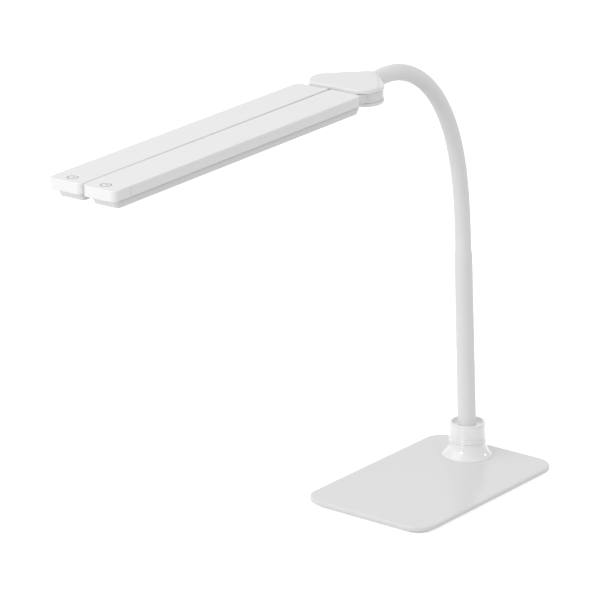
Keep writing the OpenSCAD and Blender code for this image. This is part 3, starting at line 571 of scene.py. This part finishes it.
def cup_profile():
    """Cup with two grooves near its foot and one under its rim, and a shallow recess on top."""
    seat, rim = SKIRT_HIGH.z, CUP_RIM

    def wall(h):
        return CUP_FOOT_R + (CUP_RIM_R - CUP_FOOT_R) * h / (rim - seat)

    edge = CUP_FOOT_EDGE
    profile = [(CUP_BORE_R, seat), (CUP_FOOT_R - edge, seat), (CUP_FOOT_R, seat + edge)]
    for h in (GROOVE_PITCH, 2 * GROOVE_PITCH, rim - seat - GROOVE_PITCH):
        top = h + GROOVE_W
        ease = GROOVE_D * 0.5
        profile += [
            (wall(h - ease), seat + h - ease), (wall(h) - ease * 0.4, seat + h),
            (wall(h) - GROOVE_D, seat + h + ease), (wall(top) - GROOVE_D, seat + top - ease),
            (wall(top) - ease * 0.4, seat + top), (wall(top + ease), seat + top + ease),
        ]
    inner, recess = CUP_RIM_R - CUP_RIM_T, rim - CUP_RECESS
    below = (wall(rim - seat - CUP_RIM_REACH), rim - CUP_RIM_REACH)
    profile += fillet((CUP_RIM_R, rim), below, (inner, rim), CUP_RIM_EDGE)
    profile += fillet((inner, rim), (CUP_RIM_R, rim), (inner, recess), CUP_RIM_EDGE)
    profile += fillet((inner, recess), (inner, rim), (CUP_BORE_R, recess), CUP_RECESS_EDGE)
    return profile + [(CUP_BORE_R, recess)]


def tube_profile():
    profile = [(TUBE_FOOT_R - STEM_WALL, TUBE_LIFT), (TUBE_FOOT_R, TUBE_LIFT)]
    for i in range(TUBE_STEPS + 1):
        z = (TUBE_L - SHOULDER_L) * i / TUBE_STEPS
        r = TUBE_FOOT_R + (TUBE_TOP_R - TUBE_FOOT_R) * z / TUBE_L
        profile.append((r, max(z, TUBE_LIFT + 0.1)))
    start = profile[-1][0]
    for i in range(1, SHOULDER_STEPS + 1):
        t = i / SHOULDER_STEPS
        profile.append((start + (SHOULDER_R - start) * t * t, TUBE_L - SHOULDER_L + SHOULDER_L * t))
    return profile + [(SHOULDER_R - STEM_WALL, TUBE_L)]


def ferrule_profile():
    """Ferrule that tapers from the tube to the sleeve, with two pairs of shallow rings."""
    bore_r, foot = TUBE_TOP_R - FERRULE_T, TUBE_L + FERRULE_FIT
    profile = [(bore_r, TUBE_L - FERRULE_SHANK), (bore_r, TUBE_L),
               (SHOULDER_R - FERRULE_FIT, TUBE_L)]
    for i in range(FERRULE_STEPS + 1):
        t = i / FERRULE_STEPS
        groove = RING_D if i in RING_AT else 0
        r = SHOULDER_R + (SLEEVE_R + FERRULE_PROUD - SHOULDER_R) * (1 - (1 - t) ** 2) - groove
        profile.append((r, foot + FERRULE_H * t))
    return profile + [(SLEEVE_R - STEM_WALL, TUBE_L + FERRULE_H)]


def make_stem():
    for name, node, profile, slot, place in (
        ("collar_flared_skirt", "collar_skirt", skirt_profile(), "collar_white", at_collar()),
        ("collar_grooved_cup", "collar_cup", cup_profile(), "collar_white", at_collar()),
        ("lower_neck_tube", "lower_tube", tube_profile(), "tube_white", on_tube()),
        ("neck_ferrule", "tube_ferrule", ferrule_profile(), "tube_white", on_tube()),
    ):
        mesh = bmesh.new()
        lathe(mesh, profile, closed=True)
        finish_piece(name, mesh, slot, "base", [node], place)


# ---- Neck ----

HINGES = ["neck_bend_1", "neck_side_1", "neck_bend_2", "neck_side_2",
          "neck_bend_3", "neck_side_3", "neck_bend_4", "neck_side_4"]
TAIL = 9
RING_STEP = 1.6
RING_POINTS = 64
BLEND_REACH = 16.3  # distance from its hinge of the two points given with each length of sleeve
STRAIGHT = 1e-9


def hinge_curve():
    """Hinge points and the neck's heading at each, from the joints: arcs join them, so a chord's
    direction is the mean of its two headings, and each sideways joint's axis gives its own."""
    points = [Vector(JOINTS[name]["pos_m"]) / MM for name in HINGES]
    chords = [math.atan2(-(b - a).y, (b - a).z) for a, b in zip(points, points[1:])]
    headings = []
    for k, name in enumerate(HINGES):
        if k % 2:
            axis = JOINTS[name]["axis"]
            headings.append(math.atan2(axis[2], axis[1]))
        else:
            headings.append(None)
    for k in range(0, len(HINGES), 2):
        headings[k] = 2 * chords[k] - headings[k + 1]
    return points, headings


HINGE_POINTS, HEADINGS = hinge_curve()
PITCH = (HINGE_POINTS[1] - HINGE_POINTS[0]).length


def along(point, heading, bend, length):
    """Point and heading after length on an arc that bends by bend per millimetre."""
    half = bend * length / 2
    chord = length * (math.sin(half) / half if abs(half) > STRAIGHT else 1)
    way = heading + half
    return point + Vector((0, -math.sin(way), math.cos(way))) * chord, heading + 2 * half


def neck_at(s):
    """Point and heading of the neck's centreline at s, with hinge k at s = k * PITCH."""
    k = min(max(int(s // PITCH), 0), len(HINGES) - 2)
    bend = (HEADINGS[k + 1] - HEADINGS[k]) / PITCH
    return along(HINGE_POINTS[k], HEADINGS[k], bend, s - k * PITCH)


def neck_ring(s, r):
    point, heading = neck_at(s)
    side = Vector((1, 0, 0))
    out = Vector((0, math.cos(heading), math.sin(heading)))
    angles = [2 * math.pi * i / RING_POINTS for i in range(RING_POINTS)]
    return [tuple(point + side * r * math.cos(a) + out * r * math.sin(a)) for a in angles]


def make_sleeve():
    """One length of sleeve round each hinge, drawn along the neck's curve as it stands, between the
    two bodies it joins.
    """
    last = len(HINGES) - 1
    bodies = [JOINTS[name]["parent"] for name in HINGES] + ["head"]
    for k in range(len(HINGES)):
        start = FERRULE_H - TAIL if k == 0 else (k - 0.5) * PITCH
        end = last * PITCH + TAIL if k == last else (k + 0.5) * PITCH
        count = round((end - start) / RING_STEP)
        stops = [start + (end - start) * i / count for i in range(count + 1)]
        outer = [neck_ring(s, SLEEVE_R) for s in stops]
        inner = [neck_ring(s, SLEEVE_R - STEM_WALL) for s in reversed(stops)]
        mesh = bmesh.new()
        loft(mesh, outer + inner, closed=True)
        before = neck_at(max(k * PITCH - BLEND_REACH, start))[0] * MM
        after = neck_at(min(k * PITCH + BLEND_REACH, end))[0] * MM
        nodes = ["neck_sleeve_%d" % k] + (["neck_sleeve_%d" % (k + 1)] if k == last else [])
        finish_piece("sleeve_%d" % k, mesh, "sleeve_white", None, nodes,
                     blend=(bodies[k], bodies[k + 1], before, after))


# ---- Head ----

RIGHT_PIVOT = Vector(JOINTS["right_bar_swing"]["pos_m"])
LEFT_PIVOT = Vector(JOINTS["left_bar_swing"]["pos_m"])
SWING_AXIS = Vector(JOINTS["right_bar_swing"]["axis"])
HEAD_PITCH = math.atan2(-SWING_AXIS.y, SWING_AXIS.z)
PIVOT_X = (RIGHT_PIVOT - LEFT_PIVOT).length / 2 / MM
EAR_X = PIVOT_X + 2
EAR_R = 14.5
TAIL_R = 8
TAIL_Y = 26
CAP_EAR_X = PIVOT_X + 1.5
CAP_EAR_R = 13.5
CAP_AHEAD, CAP_TAIL = 4, 1
CAP_TAIL_R = 8
CAP_TOP = 1.5
CAP_T = 3.7
CAP_Z = CAP_TOP - CAP_T
CAP_LOW_EDGE, CAP_EDGE = 0.3, 0.9
CAP_CROWN, CROWN_W, CROWN_STEPS = 0.3, 7, 5
CROWN_SHORT, CROWN_FLAT = 0.5, 0.2  # the last ring stops short of the flat, which starts past it
CAP_LAP = 0.15
RIM_H = 3.1
RIM_Y = -9
YOKE_DEPTH = 13.5
YOKE_EDGES = (2.2, 0.4)
SLOT_Z = -10.4
WALL_Y = 12.4
ROOM_R = 15.5
PIN_R = 2.5
PIN_GAP = 0.05
SCREW_X, SCREW_Y = 10.5, 19
SCREW_ROOM_R, SCREW_ROOM_H = 2.45, 1.6
# distance past the sleeve's end, and radius
NOSE_RINGS = ((14, 3.5), (13.4, 5), (12, 6.2), (9, 7.3), (5.5, 7.9), (2.5, 8), (-0.2, 7.5))
YOKE_VOXEL = 0.4
YOKE_SMOOTHING, YOKE_ROUNDS = 0.5, 6
YOKE_THINNING = 0.35
FAR = 60


def at_head(x=0, y=0):
    """Place of the head's frame: pivots at y = 0, top of the bars at z = 0."""
    middle = (RIGHT_PIVOT + LEFT_PIVOT) / 2
    turn = Matrix.Rotation(HEAD_PITCH, 4, "X")
    return Matrix.Translation(middle) @ turn @ Matrix.Translation(Vector((x, y, 0)) * MM) @ SCALE


YOKE_PLAN = hull_plan([(EAR_X, 0, EAR_R), (0, TAIL_Y, TAIL_R), (-EAR_X, 0, EAR_R)])
CAP_PLAN = hull_plan([(CAP_EAR_X, -CAP_AHEAD, CAP_EAR_R), (0, TAIL_Y - CAP_TAIL, CAP_TAIL_R),
                      (-CAP_EAR_X, -CAP_AHEAD, CAP_EAR_R)])


def make_cap():
    """Cap with a round upper edge and a slightly crowned top."""
    rings = stack(CAP_PLAN, rounded(CAP_Z, CAP_TOP - CAP_CROWN, CAP_LOW_EDGE, CAP_EDGE, 7))
    for i in range(1, CROWN_STEPS + 1):
        t = i / CROWN_STEPS
        short = CROWN_SHORT if i == CROWN_STEPS else 0
        inset = CAP_EDGE + (CROWN_W - CAP_EDGE) * i / CROWN_STEPS - short
        rings.append(level(CAP_PLAN(inset), CAP_TOP - CAP_CROWN * (1 - t) ** 2))
    low, top = level(CAP_PLAN(1), CAP_Z), level(CAP_PLAN(CROWN_W + CROWN_FLAT), CAP_TOP)
    mesh = bmesh.new()
    loft(mesh, [low] + rings + [top])
    finish_piece("yoke_top_cap", mesh, "yoke_white", "head", ["yoke_cap"], at_head())


def block_object(name, x0, x1, y0, y1, z0, z1):
    mesh = bmesh.new()
    loft(mesh, [[(x0, y0, z), (x1, y0, z), (x1, y1, z), (x0, y1, z)] for z in (z0, z1)])
    return plain_object(name, mesh, at_head())


def cylinder_object(name, r, z0, z1, x, y=0):
    mesh = bmesh.new()
    lathe(mesh, [(r, z0), (r, z1)], steps=64)
    return plain_object(name, mesh, at_head(x, y))


def nose_object():
    """Nose from inside the yoke's tail out to the sleeve, along the neck's own line."""
    end = (len(HINGES) - 1) * PITCH + TAIL
    to_head = at_head().inverted()
    rings = [[tuple(to_head @ (Vector(p) * MM)) for p in neck_ring(end + s, r)]
             for s, r in NOSE_RINGS]
    mesh = bmesh.new()
    loft(mesh, rings)
    return plain_object("nose", mesh, at_head())


def make_yoke_body():
    """Body of the yoke: solid parts joined and cut, then remeshed and smoothed so that every edge
    is moulded round."""
    mesh = bmesh.new()
    loft(mesh, stack(YOKE_PLAN, rounded(-YOKE_DEPTH, CAP_Z + RIM_H, *YOKE_EDGES)))
    body = plain_object("yoke_blank", mesh, at_head())
    combine(body, nose_object(), "UNION")
    cut(body, block_object("slot", -FAR, FAR, -FAR, WALL_Y, SLOT_Z, CAP_Z))
    cut(body, block_object("front", -FAR, FAR, -FAR, RIM_Y, CAP_Z - 1, FAR))
    below = -YOKE_DEPTH - 1
    for x in (-PIVOT_X, PIVOT_X):
        cut(body, cylinder_object("room", ROOM_R, SLOT_Z, CAP_Z + 0.1, x))
        cut(body, cylinder_object("pin_hole", PIN_R + PIN_GAP, below, SLOT_Z + 1, x))
    for x in (-SCREW_X, SCREW_X):
        top = SCREW_ROOM_H - YOKE_DEPTH
        cut(body, cylinder_object("screw_hole", SCREW_ROOM_R, below, top, x, SCREW_Y))
    mesh = bmesh.new()
    loft(mesh, stack(CAP_PLAN, [(CAP_LAP, CAP_Z), (CAP_LAP, FAR)]))
    cut(body, plain_object("cap_seat", mesh, at_head()))
    remesh = body.modifiers.new("remesh", "REMESH")
    remesh.mode = "VOXEL"
    remesh.voxel_size = YOKE_VOXEL * MM
    bake(body)
    smooth = body.modifiers.new("smooth", "SMOOTH")
    smooth.factor = YOKE_SMOOTHING
    smooth.iterations = YOKE_ROUNDS
    thin = body.modifiers.new("thin", "DECIMATE")
    thin.ratio = YOKE_THINNING
    bake(body)
    finish_blank("yoke_moulded_body", body, "yoke_white", "head", ["yoke_body"])


# ---- Light bars, drawn as the right-hand one, with x mirrored for the left ----

BAR_X0, BAR_X1 = 0.5, 31.7
TIP_Y = -315.5
SEAM_Y = -297.5
REAR_Y = -22.5
SHELL_H = 8.5
SHELL_WALL = 1.3
TIP_R, REAR_R, INNER_REAR_R = 5, 7, 1
BAR_H = 15.5
FRAME_IN = 4
FRAME_WALL = 1.2
FRAME_R = 3
FRAME_REAR = -17.5
FRAME_SLANT = 6
FRONT_SLANT = 4
FLANGE_T = 1.2
LEDGE_W = 1.4
LEDGE_Z = -14
WINDOW_FRONT, WINDOW_REAR, WINDOW_R = -285.5, -46, 1
TONGUE_W, TONGUE_R, TONGUE_EDGE = 22, 0.6, 0.4
TONGUE_FRONT = -34
KNUCKLE_R = 15.2
KNUCKLE_LOW, KNUCKLE_HIGH = -9.6, -2.5
WASHER_ROOM_R = 13.4
WASHER_RECESS = 0.65
TOUCH_Y = -306
MARK_R = 4.2
MARK_X = 15.75
SEAM_GAP = 0.12
EDGE_R = 0.7
INNER_EDGE_R = 0.25
SEAM_R = 0.32
COVE = 1.6
LIP, LIP_BEVEL = 0.2, 0.06
ROOM_CORNER = 0.2
GAP_SPLAY = 0.5
FLANGE_GAP = 0.15
FLANGE_ROUNDING, FLANGE_INNER_R = 1.4, 0.3
FRAME_EDGE = 0.7
POCKET_BEVEL = 0.15
DIFFUSER_GAP = 0.1
DIFFUSER_RINGS = ((0.25, 0.9), (0.1, 0.25), (0.3, 0))  # height over the foot, inset in the pocket
KNUCKLE_EDGES = (0.2, 0.5)
BORE_EDGE = 0.2
MARK_LINE = 0.7
MARK_OPENING = math.radians(22)
MARK_SUNK, MARK_PROUD = 0.15, 0.02
MARK_STEPS = 72
STROKE_FOOT = 0.6


def at_bar(side):
    flip = Matrix.Scale(side, 4, Vector((1, 0, 0)))
    return at_head() @ flip


def splayed(plan):
    """Plan whose inner side runs a little away from the other bar towards the yoke, so that the
    gap widens there."""
    def shift(p):
        is_inner_rear = p.x < BAR_X0 + REAR_R and p.y > (SEAM_Y + REAR_Y) / 2
        return Vector((p.x + GAP_SPLAY * is_inner_rear, p.y))

    return lambda inset: [shift(p) for p in plan(inset)]


def shell_piece(name, plan, inner, side, node):
    """Thin-walled shell, open below, with a round upper edge."""
    inside = level(inner(0), -SHELL_WALL)
    lip = [level(inner(0), -SHELL_H), level(plan(LIP), -SHELL_H),
           level(plan(LIP_BEVEL), -SHELL_H + LIP_BEVEL)]
    outside = stack(plan, [(0, -SHELL_H + LIP)] + rounded(-SHELL_H, 0, 0, EDGE_R, 6)[6:])
    mesh = bmesh.new()
    loft(mesh, [inside] + lip + outside + [level(plan(EDGE_R + FLAT_IN), 0)])
    finish_piece(name, mesh, "bar_white", node.split("_")[0] + "_bar", [node], at_bar(side))


def frame_plan(t, inset):
    """Plan of the light frame at share t of its depth, where its two ends lean together."""
    front = TIP_Y + FRAME_IN + FRONT_SLANT * t
    rear = FRAME_REAR - FRAME_SLANT * t
    plan = box_plan(BAR_X0 + FRAME_IN, BAR_X1 - FRAME_IN, front, rear, (FRAME_R,) * 4)
    return plan(inset)


def frame_ring(z, inset=0.0):
    return level(frame_plan(max(0, (-SHELL_H - z) / (BAR_H - SHELL_H)), inset), z)


def right_angle(steps, first=0):
    """Angles from 0 to a right angle."""
    return [math.pi / 2 / steps * i for i in range(first, steps + 1)]


def light_frame_mesh():
    """Frame as one closed skin: outside, rim, pocket for the diffuser, window and flange."""
    pocket, edge = FRAME_WALL, FRAME_EDGE
    window_in = FRAME_IN + pocket + LEDGE_W
    window = box_plan(BAR_X0 + window_in, BAR_X1 - window_in, WINDOW_FRONT, WINDOW_REAR,
                      (WINDOW_R,) * 4)(0)
    fit = SHELL_WALL + FLANGE_GAP
    radii = (TIP_R - FLANGE_ROUNDING, TIP_R - FLANGE_ROUNDING, REAR_R - FLANGE_ROUNDING,
             FLANGE_INNER_R)
    flange = box_plan(BAR_X0 + fit, BAR_X1 - fit, TIP_Y + fit, REAR_Y - fit, radii)(0)
    rings = [frame_ring(-SHELL_H - COVE * math.sin(a), -COVE * (1 - math.sin(a)) ** 1.5)
             for a in right_angle(6)]
    rings += [frame_ring(-BAR_H + edge)]
    rings += [frame_ring(-BAR_H + edge * (1 - math.sin(a)), edge * (1 - math.cos(a)))
              for a in right_angle(4, 1)]
    rings += [frame_ring(-BAR_H, pocket - POCKET_BEVEL), frame_ring(-BAR_H + POCKET_BEVEL, pocket),
              frame_ring(LEDGE_Z, pocket)]
    rings += [level(window, LEDGE_Z), level(window, -SHELL_H + FLANGE_T)]
    rings += [level(flange, -SHELL_H + FLANGE_T), level(flange, -SHELL_H)]
    mesh = bmesh.new()
    loft(mesh, rings, closed=True)
    return mesh


def add_tongue(mesh):
    half = TONGUE_W / 2
    plan = box_plan(PIVOT_X - half, PIVOT_X + half, TONGUE_FRONT, -PIN_R - 1, (TONGUE_R,) * 4)
    slab(mesh, plan, KNUCKLE_LOW, KNUCKLE_HIGH, TONGUE_EDGE, TONGUE_EDGE)


def add_knuckle(mesh):
    """Turned knuckle with a bore for the pin and a room for the washer below."""
    low, high = KNUCKLE_LOW, KNUCKLE_HIGH
    bore, mouth = PIN_R + PIN_GAP, PIN_R + PIN_GAP + BORE_EDGE
    low_edge, high_edge = KNUCKLE_EDGES
    skirt = low - WASHER_RECESS
    profile = [(bore, low + BORE_EDGE), (mouth, low), (WASHER_ROOM_R, low), (WASHER_ROOM_R, skirt)]
    profile += fillet((KNUCKLE_R, skirt), (bore, skirt), (KNUCKLE_R, high), low_edge)
    profile += fillet((KNUCKLE_R, high), (KNUCKLE_R, low), (bore, high), high_edge)
    profile += [(mouth, high), (bore, high - BORE_EDGE)]
    part = bmesh.new()
    lathe(part, profile, closed=True)
    bmesh.ops.translate(part, vec=(PIVOT_X, 0, 0), verts=part.verts)
    data = bpy.data.meshes.new("knuckle")
    part.to_mesh(data)
    part.free()
    mesh.from_mesh(data)


def add_stroke(mesh, points, width, z0, z1):
    """Flat stroke of a width along [x, y] points."""
    left, right = [], []
    for k, p in enumerate(points):
        a, b = Vector(points[max(k - 1, 0)]), Vector(points[min(k + 1, len(points) - 1)])
        way = (b - a).normalized()
        across = Vector((-way.y, way.x)) * width / 2
        left.append(Vector(p) + across)
        right.append(Vector(p) - across)
    outline = right + left[::-1]
    loft(mesh, [level(outline, z0), level(outline, z1)])


def touch_mark_mesh():
    """Ring with a gap at its far side and a stroke through the gap, printed on the tip."""
    middle = Vector((MARK_X, TOUCH_Y))
    reach = MARK_R - MARK_LINE / 2
    start, turn = math.pi / 2 + MARK_OPENING, 2 * math.pi - 2 * MARK_OPENING
    angles = [start + turn * i / MARK_STEPS for i in range(MARK_STEPS + 1)]
    ring = [middle + Vector((math.cos(a), math.sin(a))) * reach for a in angles]
    stroke = [middle - Vector((0, STROKE_FOOT)), middle + Vector((0, reach))]
    mesh = bmesh.new()
    for points in (ring, stroke):
        add_stroke(mesh, points, MARK_LINE, -MARK_SUNK, MARK_PROUD)
    return mesh


def diffuser_mesh():
    pocket = FRAME_WALL + DIFFUSER_GAP
    rings = [frame_ring(-BAR_H + h, pocket + inset) for h, inset in DIFFUSER_RINGS]
    mesh = bmesh.new()
    loft(mesh, rings + [frame_ring(LEDGE_Z, pocket)])
    return mesh


def make_bar(name, side):
    body = name + "_bar"
    w, corner = SHELL_WALL, ROOM_CORNER
    front, rear = SEAM_Y - SEAM_GAP, SEAM_Y + SEAM_GAP
    cover = splayed(box_plan(BAR_X0, BAR_X1, rear, REAR_Y, (SEAM_R, SEAM_R, REAR_R, INNER_REAR_R),
                             "y0", SEAM_R, INNER_EDGE_R))
    cover_room = box_plan(BAR_X0 + w, BAR_X1 - w, SEAM_Y + w, REAR_Y - w,
                          (corner, corner, REAR_R - w, corner))
    shell_piece(name + "_long_shell", cover, cover_room, side, name + "_bar_cover")
    tip = box_plan(BAR_X0, BAR_X1, TIP_Y, front, (TIP_R, TIP_R, SEAM_R, SEAM_R),
                   "y1", SEAM_R, INNER_EDGE_R)
    tip_room = box_plan(BAR_X0 + w, BAR_X1 - w, TIP_Y + w, SEAM_Y - w,
                        (TIP_R - w, TIP_R - w, corner, corner))
    shell_piece(name + "_tip_shell", tip, tip_room, side, name + "_end_cap")

    frame_mesh = light_frame_mesh()
    add_tongue(frame_mesh)
    add_knuckle(frame_mesh)
    for piece, mesh, slot, node in (
        ("_lamp_frame", frame_mesh, "frame_white", "_light_frame"),
        ("_frosted_strip", diffuser_mesh(), "diffuser_frost", "_diffuser"),
        ("_printed_mark", touch_mark_mesh(), "mark_grey", "_touch_mark"),
    ):
        finish_piece(name + piece, mesh, slot, body, [name + node], at_bar(side))


# ---- Carried-over CAD nodes, floor and light ----

def dress_frame():
    """The record's finish, as a node material, on every CAD node that stays."""
    slots = {part["node"]: part["material_slot"] for part in frame["record"]["subparts"]}
    for node, piece in frame["nodes"].items():
        piece.data.materials.clear()
        piece.data.materials.append(MATERIALS[slots[node]])


FLOOR_SIZE = 6
FLOOR_GREY, FLOOR_ROUGHNESS, FLOOR_SPECULAR = 0.64, 0.9, 0.1
FLOOR_GLOW = 0.72
SKY = 0.775
LAMP_AIM = Vector((0, 0, 0.2))
LAMPS = {  # place, width and height in metres, then power in watts
    "key": ((-0.9, -1.95, 1.55), (2.6, 2.6), 19.5),
    "spark": ((0.14, -2.15, 0.7), (0.4, 0.4), 5.5),
    "back": ((1.27, 1.9, 0.8), (0.3, 0.4), 2),
}


def seen_directly(tree):
    """1 for camera, glossy and transmitted rays, 0 for the rays that light the object."""
    path = tree.nodes.new("ShaderNodeLightPath")
    total = path.outputs["Is Camera Ray"]
    for kind in ("Is Glossy Ray", "Is Transmission Ray"):
        either = tree.nodes.new("ShaderNodeMath")
        either.operation = "MAXIMUM"
        tree.links.new(total, either.inputs[0])
        tree.links.new(path.outputs[kind], either.inputs[1])
        total = either.outputs[0]
    return total


def scaled(tree, value, factor, offset):
    node = tree.nodes.new("ShaderNodeMath")
    node.operation = "MULTIPLY_ADD"
    node.inputs[1].default_value = factor
    node.inputs[2].default_value = offset
    tree.links.new(value, node.inputs[0])
    return node.outputs[0]


def make_floor():
    """Pale floor that takes shadows, and glows where it is seen, so that it reads as white."""
    mesh = bmesh.new()
    bmesh.ops.create_grid(mesh, x_segments=1, y_segments=1, size=FLOOR_SIZE / 2)
    data = bpy.data.meshes.new("floor")
    mesh.to_mesh(data)
    mesh.free()
    material, tree, shader = node_material("floor")
    shader.inputs["Base Color"].default_value = (*grey(FLOOR_GREY), 1)
    shader.inputs["Roughness"].default_value = FLOOR_ROUGHNESS
    shader.inputs["Specular IOR Level"].default_value = FLOOR_SPECULAR
    shader.inputs["Emission Color"].default_value = (1, 1, 1, 1)
    glow = scaled(tree, seen_directly(tree), FLOOR_GLOW, 0)
    tree.links.new(glow, shader.inputs["Emission Strength"])
    data.materials.append(material)
    linked("floor", data)


def make_world():
    world = bpy.data.worlds.new("studio")
    bpy.context.scene.world = world
    world.use_nodes = True
    tree = world.node_tree
    background = tree.nodes["Background"]
    background.inputs["Color"].default_value = (1, 1, 1, 1)
    tree.links.new(scaled(tree, seen_directly(tree), 1 - SKY, SKY), background.inputs["Strength"])


def make_lamp(name, at, size, power):
    light = bpy.data.lights.new(name, "AREA")
    light.shape = "RECTANGLE"
    light.size, light.size_y = size
    light.energy = power
    holder = linked(name, light)
    holder.location = at
    aim(holder, LAMP_AIM - Vector(at))


make_camera()
make_base()
make_stem()
make_sleeve()
make_cap()
make_yoke_body()
make_bar("right", 1)
make_bar("left", -1)
dress_frame()
make_floor()
make_world()
for lamp, values in LAMPS.items():
    make_lamp(lamp, *values)

bpy.context.scene.view_settings.view_transform = "Standard"
